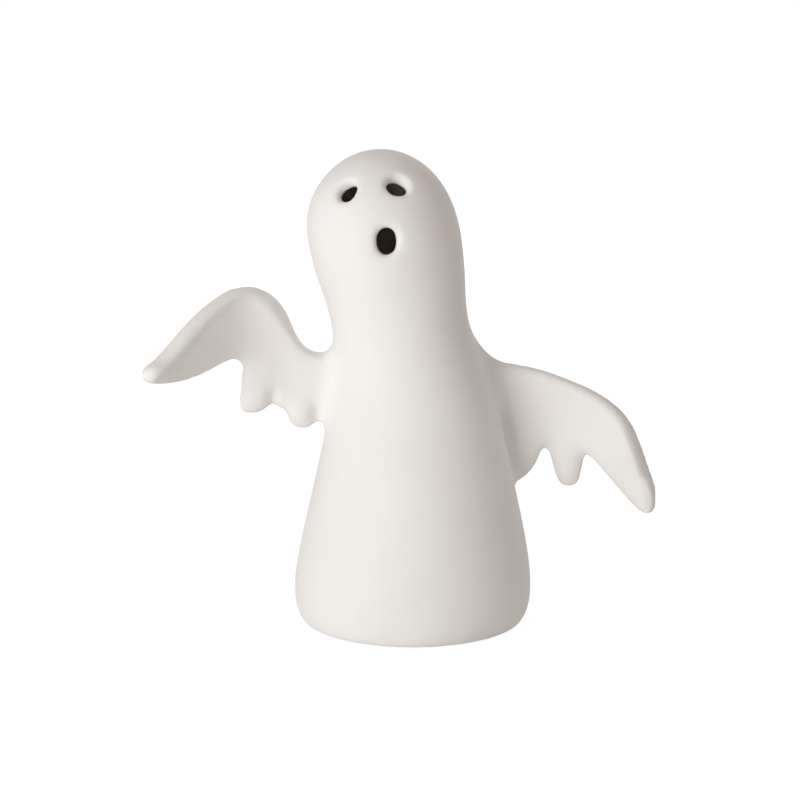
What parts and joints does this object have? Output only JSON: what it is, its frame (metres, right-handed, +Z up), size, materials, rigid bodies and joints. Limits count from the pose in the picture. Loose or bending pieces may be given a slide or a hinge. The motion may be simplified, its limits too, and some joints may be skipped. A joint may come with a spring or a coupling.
{
  "type": "ceramic ghost figure",
  "caption": "Hollow leaning ghost in matte white ceramic with outspread drooping arms, cut eye and mouth holes, and a plug-in battery light held in its foot.",
  "frame": {"origin": "centre of the foot, on the table plane", "axes": "+Z up, the face looks along -Y, +X is the viewer's right"},
  "size_m": [0.1882, 0.0914, 0.18],
  "materials": {
    "bisque": "matte",
    "felt": "matte",
    "silicone": "satin",
    "housing": "matte",
    "frosted": "frosted",
    "lamp": "gloss",
    "board": "satin",
    "chip": "matte",
    "resistor": "satin",
    "switch": "satin",
    "slider": "matte",
    "cell": "satin",
    "contact": "satin",
    "screw": "satin"
  },
  "bodies": {
    "ghost": {"body_shell": "bisque", "raised_arm": "bisque", "lowered_arm": "bisque", "foot_pads": "felt"},
    "light_module": {"grip_ring": "silicone", "light_base": "housing", "light_cap": "housing", "light_dome": "frosted", "led_lamp": "lamp", "circuit_board": "board", "timer_chip": "chip", "resistor": "resistor", "switch_body": "switch", "lower_cell": "cell", "upper_cell": "cell", "negative_contact": "contact", "positive_contact": "contact", "housing_screws": "screw"},
    "switch": {"switch_slider": "slider"},
    "door": {"battery_door": "housing"}
  },
  "joints": [
    {"name": "light_pull", "type": "slide", "parent": "ghost", "child": "light_module", "axis": [0, 0, -1], "range_m": [0, 0.06]},
    {"name": "switch_slide", "type": "slide", "parent": "light_module", "child": "switch", "axis": [0, 1, 0], "range_m": [0, 0.004]},
    {"name": "door_turn", "type": "hinge", "parent": "light_module", "child": "door", "pos_m": [-0.0054, 0, 0.0014], "axis": [0, 0, -1], "range_deg": [0, 32]}
  ]
}
